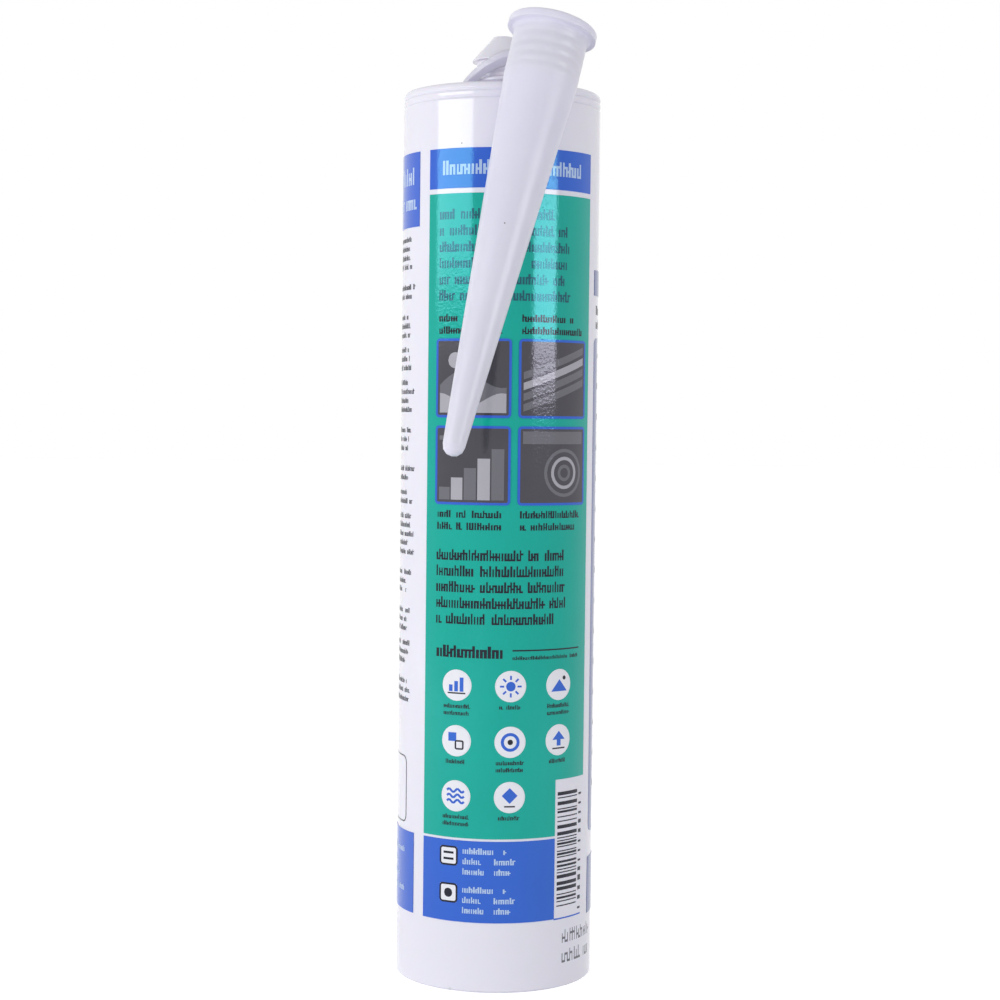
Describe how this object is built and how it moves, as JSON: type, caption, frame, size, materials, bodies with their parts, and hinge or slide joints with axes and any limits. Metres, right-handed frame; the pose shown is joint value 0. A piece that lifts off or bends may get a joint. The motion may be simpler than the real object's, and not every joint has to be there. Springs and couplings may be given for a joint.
{
  "type": "caulk tube",
  "caption": "Plastic sealant cartridge with closed threaded tip, sliding piston inside and a tapered nozzle looped over the neck by its strap.",
  "frame": {"origin": "centre of the open end of the barrel, in the plane that it stands on", "axes": "+Z along the barrel's axis, towards the neck; -Y towards the front panel of the print"},
  "size_m": [0.0488, 0.0776, 0.2327],
  "materials": {
    "barrel_plastic": "smooth white polyethylene",
    "piston_plastic": "smooth natural polyethylene",
    "paste": "soft white paste",
    "nozzle_plastic": "half-clear natural polyethylene",
    "teal_ink": "glossy ink",
    "blue_ink": "glossy ink",
    "dark_ink": "glossy ink",
    "white_ink": "glossy ink",
    "violet_ink": "glossy ink"
  },
  "bodies": {
    "cartridge": {"barrel": "barrel_plastic", "sealant": "paste", "teal_print": "teal_ink", "blue_print": "blue_ink", "dark_print": "dark_ink", "white_print": "white_ink", "violet_print": "violet_ink"},
    "plunger": {"piston": "piston_plastic"},
    "spout": {"nozzle": "nozzle_plastic"}
  },
  "joints": [
    {"name": "piston_slide", "type": "slide", "parent": "cartridge", "child": "plunger", "axis": [0, 0, 1], "range_m": [0, 0.1672], "deforming": ["sealant"]},
    {"name": "nozzle_swing", "type": "hinge", "parent": "cartridge", "child": "spout", "pos_m": [0, 0, 0.223], "axis": [0, 0, 1], "continuous": true}
  ]
}
